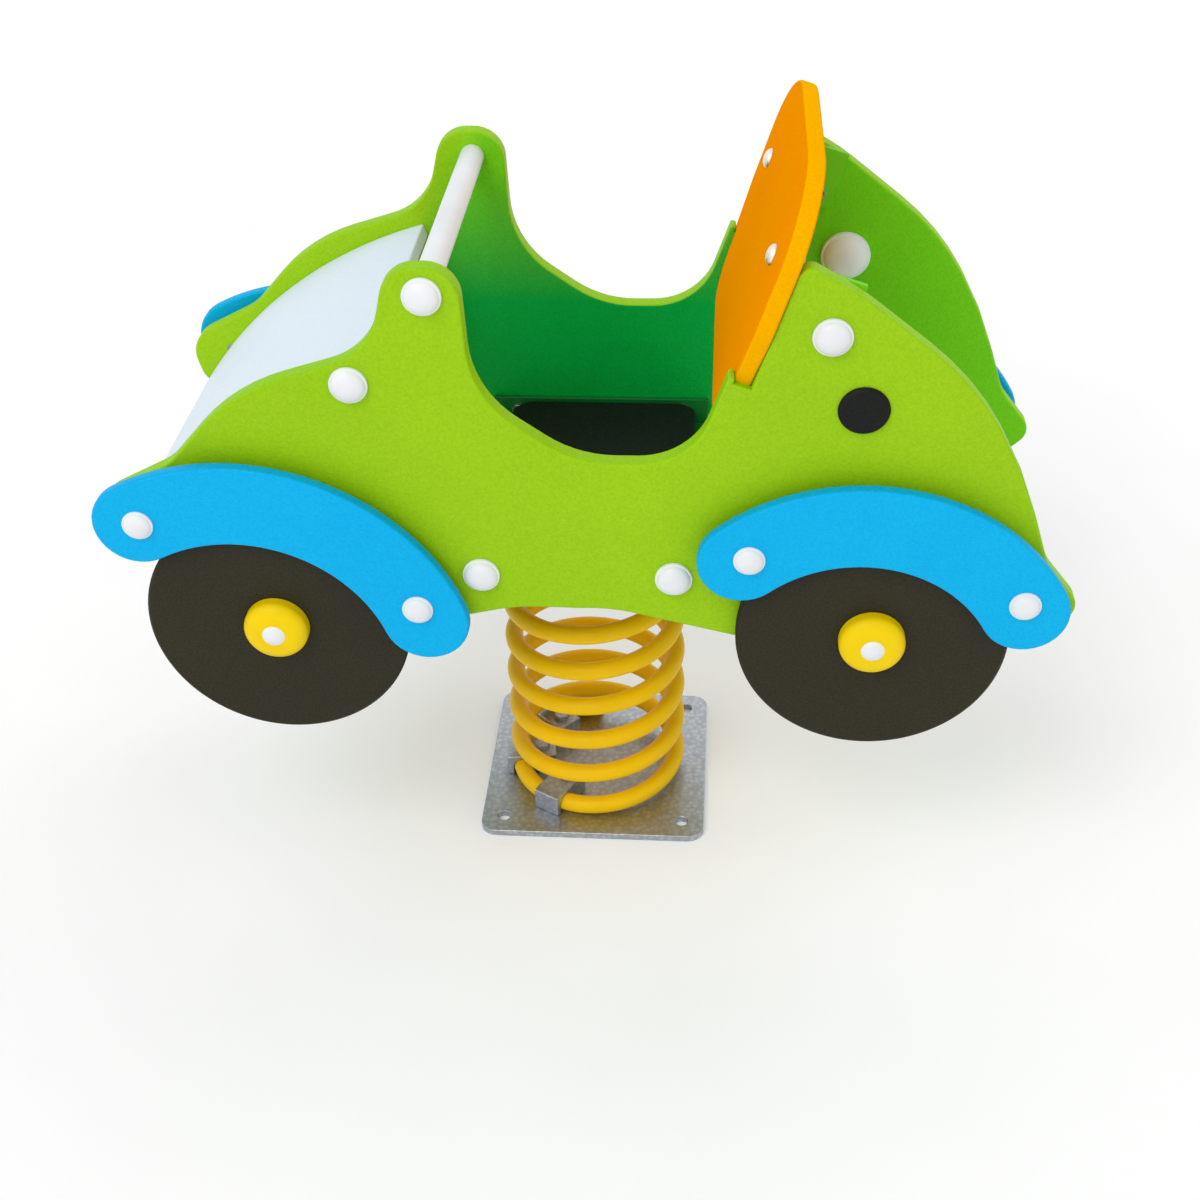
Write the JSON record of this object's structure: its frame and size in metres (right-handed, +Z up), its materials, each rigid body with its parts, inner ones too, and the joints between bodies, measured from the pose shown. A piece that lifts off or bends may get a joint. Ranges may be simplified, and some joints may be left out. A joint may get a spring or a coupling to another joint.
{
  "type": "spring rider",
  "caption": "Playground spring rider shaped as a small open car: flat plastic side panels, seat, seat back and handle bar on a carrier bolted to one upright coil spring.",
  "frame": {"origin": "on the ground, on the spring's axis, at the centre of the base plate's underside", "axes": "+X forward, +Y to the car's left, +Z up"},
  "size_m": [0.9347, 0.4318, 0.7872],
  "materials": {
    "galvanised": "zinc plated, dull",
    "spring_yellow": "powder coated, semi-gloss",
    "panel_green": "fine grained polyethylene sheet",
    "bonnet_grey": "fine grained polyethylene sheet",
    "back_orange": "fine grained polyethylene sheet",
    "bracket_green": "powder coated, satin",
    "handle_white": "powder coated, semi-gloss",
    "wheel_brown": "fine grained polyethylene sheet",
    "hub_yellow": "turned polyethylene, satin",
    "fender_blue": "fine grained polyethylene sheet",
    "seat_black": "fine grained polyethylene sheet",
    "spacer_grey": "moulded, satin",
    "cap_white": "moulded, satin"
  },
  "bodies": {
    "anchor": {"base_plate": "galvanised", "lower_spring_clamps": "galvanised", "lower_clamp_bolts": "galvanised"},
    "coil": {"spring": "spring_yellow"},
    "car": {"upper_spring_plate": "galvanised", "upper_spring_clamps": "galvanised", "upper_clamp_bolts": "galvanised", "carrier": "bracket_green", "carrier_bolts": "galvanised", "carrier_nuts": "galvanised", "seat_bearers": "seat_black", "seat": "seat_black", "seat_screws": "galvanised", "left_side_panel": "panel_green", "right_side_panel": "panel_green", "bonnet": "bonnet_grey", "bonnet_screws": "galvanised", "seat_back": "back_orange", "left_back_bracket": "bracket_green", "right_back_bracket": "bracket_green", "back_bolts": "galvanised", "back_nuts": "galvanised", "handle_bar": "handle_white", "front_cross_tube": "galvanised", "rear_cross_tube": "galvanised", "front_left_wheel": "wheel_brown", "front_right_wheel": "wheel_brown", "rear_left_wheel": "wheel_brown", "rear_right_wheel": "wheel_brown", "front_left_hub": "hub_yellow", "front_right_hub": "hub_yellow", "rear_left_hub": "hub_yellow", "rear_right_hub": "hub_yellow", "front_left_fender": "fender_blue", "front_right_fender": "fender_blue", "rear_left_fender": "fender_blue", "rear_right_fender": "fender_blue", "fender_spacers": "spacer_grey", "fender_bolts": "galvanised", "fender_sleeve_nuts": "galvanised", "fender_bolt_caps": "cap_white", "wheel_bolts": "galvanised", "hub_caps": "cap_white", "panel_bolts": "galvanised", "panel_nuts": "galvanised", "panel_bolt_caps": "cap_white", "left_round_cover": "seat_black", "right_round_cover": "seat_black", "cover_bolts": "galvanised", "inner_domes": "cap_white"}
  },
  "joints": [
    {"name": "rock_fore_aft", "type": "hinge", "parent": "anchor", "child": "coil", "pos_m": [0, 0, 0.1853], "axis": [0, 1, 0], "range_deg": [-20, 20], "stiffness_Nm_per_rad": 350, "deforming": ["spring"]},
    {"name": "rock_sideways", "type": "hinge", "parent": "coil", "child": "car", "pos_m": [0, 0, 0.1853], "axis": [1, 0, 0], "range_deg": [-12, 12], "stiffness_Nm_per_rad": 350, "deforming": ["spring"]}
  ]
}
